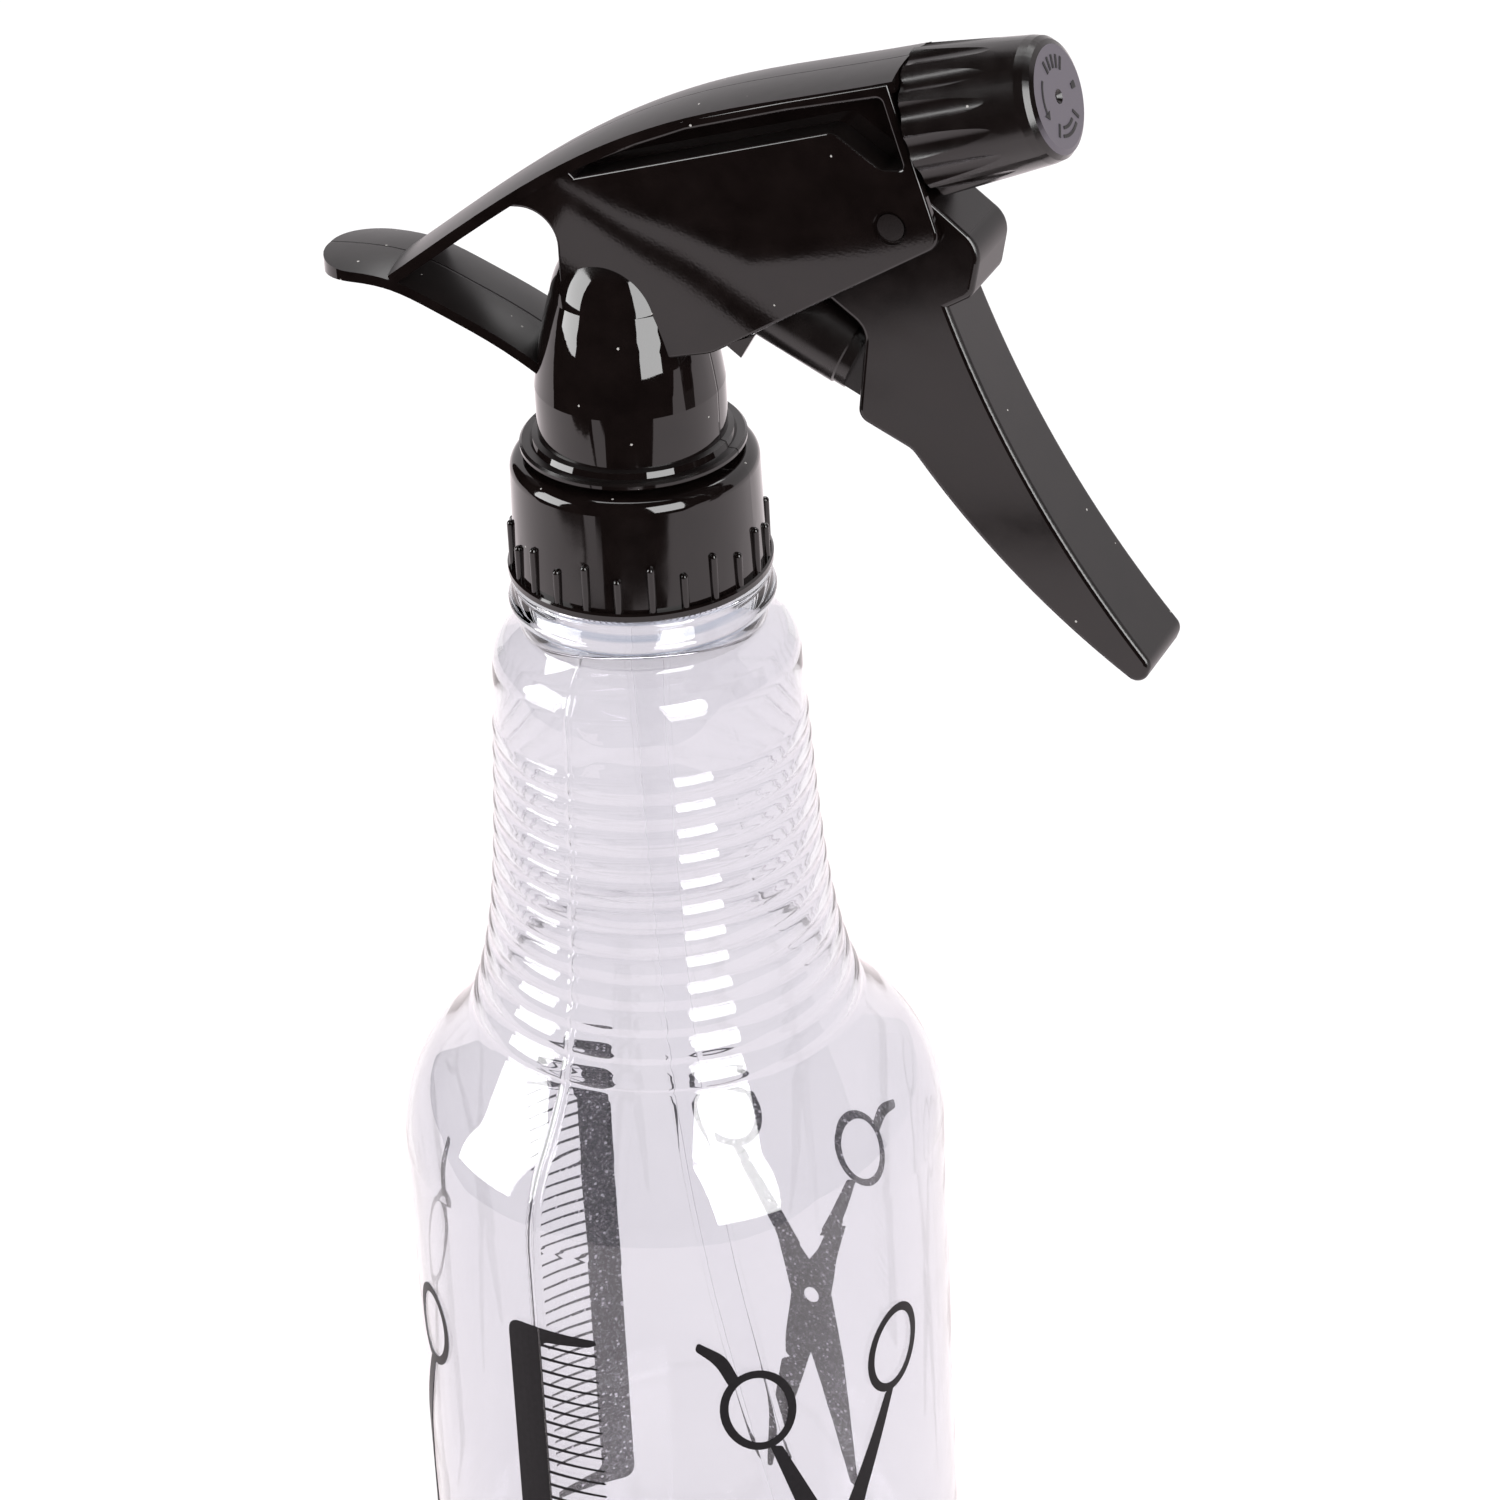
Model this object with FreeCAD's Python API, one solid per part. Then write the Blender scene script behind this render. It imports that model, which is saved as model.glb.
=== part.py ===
"""Hand mister: a clear bottle with a ringed neck, a screw closure and a trigger sprayer head.

Millimetres. The origin is the centre of the bottle's base, +Z is up along the bottle's axis,
+X is the way the mister sprays and +Y is to its left. Each piece is one solid in its own node.
"""
import FreeCAD, Part
import math
import os

V = FreeCAD.Vector

# ---------------------------------------------------------------- driving dimensions
SEAT_Z = 190.0            # height of the closure's lower rim above the base
BODY_R = 35.15            # bottle body
WALL = 0.8                # blown wall of the bottle
HEEL_R = 6.6              # rounding between the base and the side
FOOT_R = 24.5             # inner edge of the flat foot
PAD_R = 8.0               # flat pad at the middle of the base
BASE_RECESS = 1.2         # depth of the ring-shaped recess between pad and foot
SHOULDER_R = 17.5         # convex shoulder arc
SHOULDER_Z = -82.0        # its centre, below the closure's rim
RING_PITCH = 3.55         # height of one ring of the neck grip
RING_COUNT = 12
RING_TOP = -20.35         # upper groove, below the closure's rim
RING_DEPTH = 0.3
NECK_R = 12.6             # threaded neck, outside
NECK_BORE = 11.0
NECK_TOP = 12.0           # lip of the bottle above the closure's rim
BEAD_R = 16.7             # support bead under the closure
THREAD_PITCH = 4.23
THREAD_TURNS = 1.25

CLOSURE_R = 15.7
CLOSURE_H = 15.6
FLANGE_R = 16.5
FLANGE_H = 1.1
RIB_COUNT = 24
RIB_LONG = 6.0
RIB_SHORT = 4.5
RIB_R = 0.5               # the ribs are round, with domed tops

DISC_R = 14.0             # sprayer's flange above the closure
DISC_Z = 16.6
DISC_H = 1.0
COLUMN_R = 11.7
HEAD_HALF = 6.25          # half the width across the cheeks
CHANNEL_HALF = 5.25       # half the gap between the cheeks
FLANGE_HALF = 6.45        # half the width of the spine and arm
SPINE_FRONT_HALF = 6.05   # half the width of the spine at its front end
SPINE_T = 1.35
CROWN = 0.8
EDGE_R = 0.4              # rounding of the cheeks' edges
POCKET_WEB = 2.7          # half the web left between the two side pockets

PUMP_TILT = 26.05         # the pump's axis falls forward by this angle
PUMP_X = 30.05            # front rim of the plunger's skirt, at rest
PUMP_Z = 33.96
CHAMBER_R = 3.4
BARREL_R = 4.15
SKIRT_R = 5.0
SKIRT_BORE = 4.4
SKIRT_BACK = -13.5        # rear end of the skirt, along the pump's axis
STROKE = 9.1

PIVOT_X = 37.8
PIVOT_Z = 53.3
PIVOT_R = 1.7
PIVOT_CLEAR = 0.08
PIVOT_SINK_R = 2.15       # shallow sink round the pivot on the outside of each cheek
TRIGGER_TOP_HALF = 4.6    # half widths of the trigger, which is wider at its tip
TRIGGER_TIP_HALF = 5.75
TRIGGER_WALL = 1.1
LINK_X = 35.5             # cross pin that drives the plunger
LINK_Z = 29.0
LINK_R = 1.2
LUG_HALF = 3.3            # half the width of the plunger's lug, between the trigger's walls

NOZZLE_TILT = 17.84       # the spray axis rises forward by this angle
NOZZLE_X = 56.78          # middle of the nozzle's face
NOZZLE_Z = 69.9
CAP_BACK_R = 8.9
CAP_FRONT_R = 7.5
CAP_LENGTH = 16.3
CAP_BORE = 5.85
NOSE_R = 5.2
FLUTES = 14
FLUTE_DEPTH = 0.75
ORIFICE_R = 0.4
PASSAGE_R = 1.0           # discharge passage along the spray axis

TUBE_R = 2.5
TUBE_BORE = 1.75
BALL_R = 1.75             # inlet ball
OUTLET_BALL_R = 1.35


# ---------------------------------------------------------------- helpers
def at(x, z, y=0.0):
    """A point given by its height above the closure's lower rim."""
    return V(x, y, z + SEAT_Z)


def edges_of(start, steps):
    """Edges from start through steps: a 2-tuple is a line's end, a 4-tuple an arc's middle and end."""
    edges = []
    here = start
    for step in steps:
        there = step[-2:]
        if len(step) == 4:
            middle = step[:2]
            edges.append(Part.Arc(at(*here), at(*middle), at(*there)).toShape())
        else:
            edges.append(Part.makeLine(at(*here), at(*there)))
        here = there
    return edges


def face_of(start, steps):
    """A face in the XZ plane, closed back to its start by a line."""
    edges = edges_of(start, steps)
    last = steps[-1][-2:]
    if math.dist(last, start) > 1e-6:
        edges.append(Part.makeLine(at(*last), at(*start)))
    return Part.Face(Part.Wire(edges))


def turned(start, steps):
    """A solid of revolution about the bottle's axis."""
    return face_of(start, steps).revolve(V(0, 0, 0), V(0, 0, 1), 360)


def slab(start, steps, half, middle=0.0):
    """An outline in the XZ plane given a thickness from middle - half to middle + half."""
    face = face_of(start, steps)
    face.translate(V(0, middle - half, 0))
    return face.extrude(V(0, 2 * half, 0))


def corners(points):
    """A closed outline of straight edges, as the start and steps the other helpers take."""
    return points[0], [tuple(p) for p in points[1:]]


def rod(radius, start, end):
    """A round bar between two points."""
    run = end.sub(start)
    return Part.makeCylinder(radius, run.Length, start, run)


def ring(outer, inner, start, end):
    return rod(outer, start, end).cut(rod(inner, start, end))


def fuse(first, *others):
    return first.multiFuse(list(others)).removeSplitter()


def cut(first, *others):
    shape = first
    for other in others:
        shape = shape.cut(other)
    return shape


def rounded(solid, radius, wanted):
    """Rounds the edges for which wanted(edge) is true."""
    picked = [edge for edge in solid.Edges if wanted(edge)]
    return solid.makeFillet(radius, picked)


def softened(solid, places):
    """Rounds the corners of a slab's outline: each place is (x, height, radius)."""
    for x, z, radius in places:
        spot = at(x, z)

        def here(edge):
            middle = middle_of(edge)
            return math.hypot(middle.x - spot.x, middle.z - spot.z) < 0.05

        solid = rounded(solid, radius, here)
    return solid


def on_plane(edge, half):
    """True for an edge that lies in one of the two planes half away from the middle."""
    return abs(abs(middle_of(edge).y) - half) < 0.02


def middle_of(edge):
    first, last = edge.ParameterRange
    return edge.valueAt((first + last) / 2)


def pump_point(along, up=0.0, side=0.0):
    """A point in the pump's own frame: along its axis from the skirt's front rim, and square to it."""
    tilt = math.radians(PUMP_TILT)
    x = PUMP_X + along * math.cos(tilt) + up * math.sin(tilt)
    z = PUMP_Z - along * math.sin(tilt) + up * math.cos(tilt)
    return at(x, z, side)


def nozzle_point(along, up=0.0, side=0.0):
    """A point in the nozzle's frame: along the spray axis from the nozzle's face, and square to it."""
    tilt = math.radians(NOZZLE_TILT)
    x = NOZZLE_X + along * math.cos(tilt) - up * math.sin(tilt)
    z = NOZZLE_Z + along * math.sin(tilt) + up * math.cos(tilt)
    return at(x, z, side)


def nozzle_axis():
    return nozzle_point(1).sub(nozzle_point(0))


def nozzle_turned(points, angle=360.0):
    """A solid of revolution about the spray axis, from (along, radius) points."""
    wire = Part.makePolygon([nozzle_point(a, r) for a, r in points + points[:1]])
    return Part.Face(wire).revolve(nozzle_point(0), nozzle_axis(), angle)


def pump_turned(points):
    """A solid of revolution about the pump's axis, from (along, radius) points."""
    wire = Part.makePolygon([pump_point(a, r) for a, r in points + points[:1]])
    axis = pump_point(1).sub(pump_point(0))
    return Part.Face(wire).revolve(pump_point(0), axis, 360)


def helix_ridge(radius, bottom, section, turns):
    """A thread ridge: section is a closed outline of (radius, height) points."""
    path = Part.makeHelix(THREAD_PITCH, THREAD_PITCH * turns, radius)
    path.translate(at(0, bottom))
    points = [at(r, bottom + h) for r, h in section]
    profile = Part.makePolygon(points + points[:1])
    return Part.Wire(path.Edges).makePipeShell([profile], True, True)


def coil(radius, wire_r, start, end, turns):
    """A helical spring wire between two points on its axis."""
    run = end.sub(start)
    path = Part.makeHelix(run.Length / turns, run.Length, radius)
    circle = Part.Wire(Part.makeCircle(wire_r, V(radius, 0, 0), V(0, 1, 0)))
    spring = Part.Wire(path.Edges).makePipeShell([circle], True, True)
    spring.Placement = FreeCAD.Placement(start, FreeCAD.Rotation(V(0, 0, 1), run))
    return spring


# ---------------------------------------------------------------- bottle
def neck_radius(z):
    """Crest radius of the neck grip, which flares out towards the shoulder."""
    fall = -14.0 - z
    return 19.5 + 0.055 * fall + 5.5 * (fall / 54.0) ** 5


def groove_z(index):
    return RING_TOP - RING_PITCH * index


def bottle_side(inset):
    """The bottle's side, or its inner side at the wall's inset, from the cylinder's top to the top groove."""
    side = BODY_R - inset
    turn = SHOULDER_R - inset
    angle = math.radians(43.0)
    centre = (BODY_R - SHOULDER_R, SHOULDER_Z)

    def on_shoulder(a):
        return (centre[0] + turn * math.cos(a), centre[1] + turn * math.sin(a))

    steps = [(side, SHOULDER_Z), on_shoulder(angle / 2) + on_shoulder(angle)]
    last = groove_z(RING_COUNT)
    waist = (27.67 - 0.8 * inset, -66.73 - 0.5 * inset)
    steps.append(waist + (neck_radius(last) - RING_DEPTH - inset, last))
    for index in reversed(range(RING_COUNT)):
        low, high = groove_z(index + 1), groove_z(index)
        middle = (low + high) / 2
        crest = (neck_radius(middle) - inset, middle)
        steps.append(crest + (neck_radius(high) - RING_DEPTH - inset, high))
    return steps


def bottle():
    recess_z = BASE_RECESS - SEAT_Z
    outside = [(PAD_R, -SEAT_Z), (PAD_R + 1.6, recess_z), (FOOT_R - 1.6, recess_z)]
    outside += [(FOOT_R, -SEAT_Z), (BODY_R - HEEL_R, -SEAT_Z)]
    bend = HEEL_R * (1 - math.sqrt(0.5))
    outside += [(BODY_R - bend, bend - SEAT_Z, BODY_R, HEEL_R - SEAT_Z)]
    outside += bottle_side(0.0)
    outside += [(19.45, -16.8), (18.7, -10.7, 16.2, -6.0), (15.3, -5.0), (16.1, -4.6)]
    outside += [(BEAD_R, -4.0, 16.2, -3.2), (16.2, -0.9), (15.8, -0.5), (NECK_R, -0.5)]
    outside += [(NECK_R, NECK_TOP - 0.6), (NECK_R - 0.6, NECK_TOP), (0, NECK_TOP)]
    solid = turned((0, -SEAT_Z), outside)

    floor = BASE_RECESS + WALL - SEAT_Z
    inner_r = BODY_R - WALL
    inner_heel = HEEL_R - WALL
    bend = inner_heel * (1 - math.sqrt(0.5))
    inside = [(inner_r - inner_heel, floor), (inner_r - bend, floor + bend, inner_r, floor + inner_heel)]
    inside += bottle_side(WALL)
    inside += [(18.6, -16.8), (17.6, -10.9, 14.6, -6.6), (NECK_BORE, -4.0), (NECK_BORE, NECK_TOP + 1)]
    inside += [(0, NECK_TOP + 1)]
    solid = solid.cut(turned((0, floor), inside))

    ridge = [(NECK_R - 0.3, 0.0), (NECK_R - 0.3, 2.2), (13.75, 1.6), (13.75, 0.6)]
    return solid.fuse(helix_ridge(NECK_R, 2.9, ridge, THREAD_TURNS))


# ---------------------------------------------------------------- closure and seals
def closure():
    top = CLOSURE_H
    outline = [(FLANGE_R - 0.15, 0), (FLANGE_R, 0.15)]
    outline += [(FLANGE_R, FLANGE_H - 0.25), (FLANGE_R - 0.25, FLANGE_H)]
    outline += [(CLOSURE_R, FLANGE_H), (CLOSURE_R - 0.3, top - 1.7), (CLOSURE_R - 0.8, top - 0.5, 13.7, top)]
    outline += [(11.3, top), (11.3, top - 1.2), (14.2, top - 1.2), (14.2, 0)]
    shell = turned((14.2, 0), outline)
    ribs = []
    for index in range(RIB_COUNT):
        height = RIB_LONG if index % 2 == 0 else RIB_SHORT
        foot = V(CLOSURE_R + 0.05, 0, SEAT_Z + FLANGE_H - 0.05)
        crest = V(CLOSURE_R + 0.05, 0, SEAT_Z + FLANGE_H + height - RIB_R)
        rib = rod(RIB_R, foot, crest).fuse(Part.makeSphere(RIB_R, crest))
        rib.rotate(V(0, 0, 0), V(0, 0, 1), index * 360.0 / RIB_COUNT)
        ribs.append(rib)
    shell = shell.multiFuse(ribs)
    ridge = [(14.5, 0.0), (14.5, 1.7), (12.95, 1.2), (12.95, 0.5)]
    return shell.fuse(helix_ridge(14.2, 5.3, ridge, THREAD_TURNS))


def neck_gasket():
    return ring(13.4, 10.95, at(0, NECK_TOP + 0.03), at(0, 12.82))


def tube_retainer():
    outline = [(3.9, 11.6), (9.2, 11.6), (9.2, 9.2), (10.3, 9.2), (10.3, 12.85), (13.3, 12.85)]
    outline += [(13.3, 14.2), (9.9, 14.2), (9.9, 18.6), (8.7, 18.6), (8.7, 14.2), (3.6, 14.2), (3.6, 20.2)]
    outline += [(2.2, 20.2), (2.2, 19.2), (1.2, 18.2), (1.2, 11.0)]
    outline += [(TUBE_R, 11.0), (TUBE_R, 0.6), (TUBE_R + 0.5, 0)]
    solid = turned((3.9, 0), outline)
    vents = [rod(0.7, at(6.6, 10, y), at(6.6, 16, y)) for y in (-2.0, 2.0)]
    return cut(solid, *vents)


def inlet_ball():
    return Part.makeSphere(BALL_R, at(0, 19.5))


def dip_tube():
    """A tube of straight runs joined by tangent arcs, bent forward so that it ends at the front heel."""
    points = [at(0, 10.9), at(0, -34), at(2.6, -92), at(13.5, -144), at(26.5, -186.2)]
    edges = []
    here = points[0]
    for index in range(1, len(points) - 1):
        corner = points[index]
        back = points[index - 1].sub(corner)
        ahead = points[index + 1].sub(corner)
        reach = 0.45 * min(back.Length, ahead.Length)
        first = corner.add(back.multiply(reach / back.Length))
        last = corner.add(ahead.multiply(reach / ahead.Length))
        half_turn = (math.pi - back.getAngle(ahead)) / 2
        radius = reach / math.tan(half_turn)
        inward = first.add(last).multiply(0.5).sub(corner)
        depth = radius / math.cos(half_turn) - radius
        middle = corner.add(inward.multiply(depth / inward.Length))
        edges.append(Part.makeLine(here, first))
        edges.append(Part.Arc(first, middle, last).toShape())
        here = last
    edges.append(Part.makeLine(here, points[-1]))
    path = Part.Wire(edges)
    outer, inner = [
        path.makePipeShell([Part.Wire(Part.makeCircle(radius, points[0], V(0, 0, 1)))], True, True)
        for radius in (TUBE_R, TUBE_BORE)
    ]
    tube = outer.cut(inner)
    bevel = Part.makeBox(20, 20, 10, V(-10, -10, -10))
    bevel.Placement = FreeCAD.Placement(at(25.3, -185.4), FreeCAD.Rotation(V(0, 1, 0), -35))
    return tube.cut(bevel)


# ---------------------------------------------------------------- sprayer body
def crowned_plate(path_points, half_start, half_end):
    """A bent plate with a crowned top, swept along a smooth line in the XZ plane."""
    curve = Part.BSplineCurve()
    curve.interpolate([at(x, z) for x, z in path_points])
    path = Part.Wire(curve.toShape())

    def section(point, tangent, half):
        tangent = V(tangent).normalize()
        up = tangent.cross(V(0, 1, 0)).multiply(-1.0)
        if up.z < 0:
            up = up.multiply(-1.0)
        edge_l = point.add(V(0, -half, 0)).sub(V(up).multiply(CROWN))
        edge_r = point.add(V(0, half, 0)).sub(V(up).multiply(CROWN))
        low_l = point.add(V(0, -half, 0)).sub(V(up).multiply(CROWN + SPINE_T))
        low_r = point.add(V(0, half, 0)).sub(V(up).multiply(CROWN + SPINE_T))
        top = Part.Arc(edge_l, point, edge_r).toShape()
        right = Part.makeLine(edge_r, low_r)
        under = Part.makeLine(low_r, low_l)
        left = Part.makeLine(low_l, edge_l)
        return Part.Wire([top, right, under, left])

    first, last = curve.FirstParameter, curve.LastParameter
    sections = [
        section(curve.value(first), curve.tangent(first)[0], half_start),
        section(curve.value(last), curve.tangent(last)[0], half_end),
    ]
    return path.makePipeShell(sections, True, False)


SPINE_LINE = [(-29.3, 37.9), (-15.9, 48.4), (-1.9, 57.9), (11.5, 64.3), (24.5, 68.5), (38.4, 72.6)]
ARM_LINE = [(-40.0, 37.4), (-34.0, 37.9), (-28.5, 37.6), (-21.5, 35.3), (-14.0, 32.1), (-6.0, 27.4)]


def tail_plan():
    """The tail's outline seen from above, as an upright prism."""
    half = FLANGE_HALF
    right, left = V(0, -half, 0), V(0, half, 0)
    tip = [V(-34.0, -half, 0), V(-38.5, -4.3, 0), V(-39.8, 0, 0), V(-38.5, 4.3, 0), V(-34.0, half, 0)]
    edges = [Part.makeLine(right, tip[0]), Part.Arc(*tip[0:3]).toShape()]
    edges += [Part.Arc(*tip[2:5]).toShape(), Part.makeLine(tip[4], left), Part.makeLine(left, right)]
    return Part.Face(Part.Wire(edges)).extrude(V(0, 0, SEAT_Z + 60))


def cheek_block():
    """The flat-sided block under the spine, with the deep pocket that opens on each side."""
    outline = [(-14.4, 48.6), (-1.4, 57.0), (5.4, 60.5), (11.9, 63.4), (24.8, 67.5), (38.1, 71.5)]
    outline += [(44.1, 51.9), (14.0, 33.3), (6.0, 31.2), (-5.6, 31.2), (-5.6, 49.4)]
    block = slab(*corners(outline), HEAD_HALF)
    block = softened(block, [(44.1, 51.9, 2.2), (14.0, 33.3, 7.0), (-5.6, 49.4, 4.5)])
    block = rounded(block, EDGE_R, lambda edge: on_plane(edge, HEAD_HALF))
    pocket = [(-2.8, 53.9), (30.9, 64.5), (36.9, 60.5), (39.8, 60.9), (37.2, 69.6), (25.2, 66.3)]
    pocket += [(12.3, 62.15), (5.9, 59.3), (-0.8, 55.9), (-3.5, 54.6)]
    depth = HEAD_HALF - POCKET_WEB
    for side in (-1, 1):
        hole = slab(*corners(pocket), depth / 2 + 0.01, side * (POCKET_WEB + depth / 2))
        bends = [(30.9, 64.5, 1.5), (36.9, 60.5, 1.5), (39.8, 60.9, 0.6), (37.2, 69.6, 0.7)]
        hole = softened(hole, bends)
        block = block.cut(hole)

        def on_rim(edge):
            gap = hole.distToShape(Part.Vertex(middle_of(edge)))[0]
            return gap < 0.001 and on_plane(edge, HEAD_HALF)

        block = rounded(block, EDGE_R, on_rim)
    return block


def column():
    outline = [(0, 14.2), (11.0, 14.2), (11.0, DISC_Z), (DISC_R - 0.3, DISC_Z), (DISC_R, DISC_Z + 0.3)]
    outline += [(DISC_R, DISC_Z + 0.7), (DISC_R - 0.3, DISC_Z + DISC_H), (12.7, DISC_Z + DISC_H)]
    outline += [(12.4, DISC_Z + 1.7), (COLUMN_R, DISC_Z + 1.9), (COLUMN_R, 25.0)]
    outline += [(10.85, 30.4, 9.1, 37.2), (6.8, 42.1, 0, 45.3)]
    return turned((0, 14.0), outline)


def nose():
    """The round nose that carries the nozzle cap, with its seal groove and snap bead."""
    outline = [(-19.0, 0), (-19.0, NOSE_R), (-11.8, NOSE_R), (-11.3, NOSE_R + 0.4), (-10.7, NOSE_R + 0.4)]
    outline += [(-10.2, NOSE_R), (-8.0, NOSE_R), (-8.0, NOSE_R - 0.7), (-6.5, NOSE_R - 0.7)]
    outline += [(-6.5, NOSE_R), (-4.9, NOSE_R), (-4.6, NOSE_R - 0.3), (-4.6, 0)]
    return nozzle_turned(outline)


def sprayer_body():
    spine = crowned_plate(SPINE_LINE, FLANGE_HALF, SPINE_FRONT_HALF)
    arm = crowned_plate(ARM_LINE, FLANGE_HALF, FLANGE_HALF).common(tail_plan())
    channel = [(13.0, 30.0), (13.0, 55.9), (30.2, 61.3), (36.0, 59.0), (50.0, 59.0), (50.0, 30.0)]
    block = cheek_block().cut(slab(*corners(channel), CHANNEL_HALF))
    stroke_room = rod(SKIRT_R + 0.3, pump_point(SKIRT_BACK - STROKE - 0.7), pump_point(6))
    shell = fuse(block.cut(stroke_room), column().cut(stroke_room), arm, spine)

    barrel = rod(BARREL_R, pump_point(-28), pump_point(SKIRT_BACK + 3.3))
    feed = rod(2.6, nozzle_point(-60.5), nozzle_point(-18))
    wedge = [(15.9, 34.9), (17.9, 33.4), (19.8, 36.6)]
    catches = [slab(*corners(wedge), 0.42, side * 5.75) for side in (-1, 1)]
    shell = fuse(shell, barrel, feed, nose(), *catches)

    hollows = [
        rod(CHAMBER_R, pump_point(-26), pump_point(0)),
        rod(1.1, pump_point(-33.4), pump_point(-25)),
        ring(9.95, 4.6, at(0, 14.0), at(0, 26.0)),
        rod(9.95, at(0, 14.0), at(0, 18.7)),
        rod(3.65, at(0, 14.0), at(0, 20.3)),
        rod(2.2, at(0, 20.0), at(0, 22.9)),
        rod(1.3, at(0, 22.0), at(0, 53.2)),
        rod(PASSAGE_R, nozzle_point(-59.6), nozzle_point(-4)),
        rod(1.65, nozzle_point(-14), nozzle_point(-4)),
        rod(PIVOT_R + PIVOT_CLEAR, at(PIVOT_X, PIVOT_Z, -10), at(PIVOT_X, PIVOT_Z, 10)),
        rod(PIVOT_SINK_R, at(PIVOT_X, PIVOT_Z, -10), at(PIVOT_X, PIVOT_Z, -5.9)),
        rod(PIVOT_SINK_R, at(PIVOT_X, PIVOT_Z, 5.9), at(PIVOT_X, PIVOT_Z, 10)),
    ]
    return cut(shell, *hollows)


# ---------------------------------------------------------------- pump
def plunger():
    """Skirt, front wall, hollow stem and the flat-sided lug that the trigger drives."""
    outline = [(SKIRT_BACK, SKIRT_BORE), (SKIRT_BACK, SKIRT_R), (-0.2, SKIRT_R), (0, SKIRT_R - 0.2)]
    outline += [(1.4, SKIRT_R - 0.2), (1.4, 0), (-1.0, 0), (-1.0, 2.05), (-15.0, 2.05), (-15.0, 2.5)]
    outline += [(-11.6, 2.5), (-11.6, 2.95), (0, 2.95), (0, SKIRT_BORE)]
    cup = pump_turned(outline)
    lug = Part.makeBox(9.6, 2 * LUG_HALF, 6.9, V(0, -LUG_HALF, -3.35))
    lug.Placement = FreeCAD.Placement(pump_point(1.2), FreeCAD.Rotation(V(0, 1, 0), PUMP_TILT))
    along = math.radians(PUMP_TILT)
    up = V(math.sin(along), 0, math.cos(along))
    pin = at(LINK_X, LINK_Z)
    slot = rod(LINK_R + 0.2, pin.add(V(0, -6, 0)), pin.add(V(0, 6, 0)))
    slots = [slot]
    for step in (0.6, 1.2, -0.6, -1.2, -1.8):
        moved = slot.copy()
        moved.translate(V(up).multiply(step))
        slots.append(moved)
    return cut(cup.fuse(lug), *slots)


def plunger_seal():
    lip = CHAMBER_R - 0.04
    outline = [(-15.4, 2.55), (-15.4, 3.15), (-15.1, lip), (-14.3, lip), (-13.8, 3.1)]
    outline += [(-12.9, 3.1), (-12.4, lip), (-11.9, lip)]
    outline += [(-11.65, 3.1), (-11.65, 2.55)]
    return pump_turned(outline)


def return_spring():
    return coil(1.6, 0.27, pump_point(-25.6), pump_point(-1.4), 11)


# ---------------------------------------------------------------- trigger
def trigger():
    """Knuckle, finger blade with a hollow back, pivot bosses and the cross pin that drives the plunger."""
    outline = [(41.6, 57.0), (48.6, 51.6), (47.3, 45.2), (44.2, 43.3), (54.2, 21.9, 69.2, 0.4), (67.9, -3.0)]
    outline += [(52.6, 8.8, 39.0, 23.9), (32.1, 27.1), (33.5, 38.9), (28.2, 42.7)]
    blade = slab((35.0, 57.0), outline, 7.0)
    bends = [(41.6, 57.0, 3.0), (48.6, 51.6, 3.5), (47.3, 45.2, 2.0), (69.2, 0.4, 1.6)]
    bends += [(67.9, -3.0, 1.6)]
    bends += [(39.0, 23.9, 3.0), (32.1, 27.1, 1.8), (33.5, 38.9, 3.0), (35.0, 57.0, 1.5)]
    blade = softened(blade, bends)

    down = V(0.494, 0, -0.869)
    forward = V(0.869, 0, 0.494)
    top = at(34.0, 65.0)
    behind = top.sub(V(forward).multiply(40))
    plan = [(0.0, TRIGGER_TOP_HALF), (82.0, TRIGGER_TIP_HALF)]
    plan += [(82.0, -TRIGGER_TIP_HALF), (0.0, -TRIGGER_TOP_HALF)]
    points = [behind.add(V(down).multiply(run)).add(V(0, half, 0)) for run, half in plan]
    taper = Part.Face(Part.makePolygon(points + points[:1])).extrude(V(forward).multiply(80))
    blade = blade.common(taper)

    def on_front(edge):
        middle = middle_of(edge)
        return abs(middle.y) > 4.0 and middle.x + 0.62 * (middle.z - SEAT_Z) > 62.0

    blade = rounded(blade, 0.7, on_front)
    inside = TRIGGER_TOP_HALF - TRIGGER_WALL
    pocket = [(20.0, 41.0), (30.0, 50.0), (41.0, 47.5), (41.9, 42.0), (45.0, 34.0), (50.2, 22.6)]
    pocket += [(44.0, 20.0), (20.0, 20.0)]
    blade = blade.cut(slab(*corners(pocket), inside))
    pin = rod(LINK_R, at(LINK_X, LINK_Z, -inside - 0.2), at(LINK_X, LINK_Z, inside + 0.2))
    bosses = [
        rod(PIVOT_R, at(PIVOT_X, PIVOT_Z, side * 4.0), at(PIVOT_X, PIVOT_Z, side * 6.0))
        for side in (-1, 1)
    ]
    return fuse(blade, pin, *bosses)


# ---------------------------------------------------------------- nozzle
def outlet_ball():
    seat = math.sqrt(OUTLET_BALL_R ** 2 - PASSAGE_R ** 2)
    return Part.makeSphere(OUTLET_BALL_R, nozzle_point(-14 + seat + 0.03))


def outlet_spring():
    return coil(1.2, 0.23, nozzle_point(-11.4), nozzle_point(-8.6), 3)


def spinner():
    outline = [(-8.3, 0), (-8.3, 1.6), (-4.4, 1.6), (-4.4, 2.4), (-3.6, 2.4), (-3.6, 0)]
    core = nozzle_turned(outline)
    slots = []
    for index in range(3):
        groove = rod(0.35, nozzle_point(-9, 1.6), nozzle_point(-3, 1.6))
        groove.rotate(nozzle_point(0), nozzle_axis(), 120 * index)
        slots.append(groove)
    return cut(core, *slots)


def nozzle_seal():
    return Part.makeTorus(NOSE_R - 0.05, 0.6, nozzle_point(-7.25), nozzle_axis())


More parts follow.
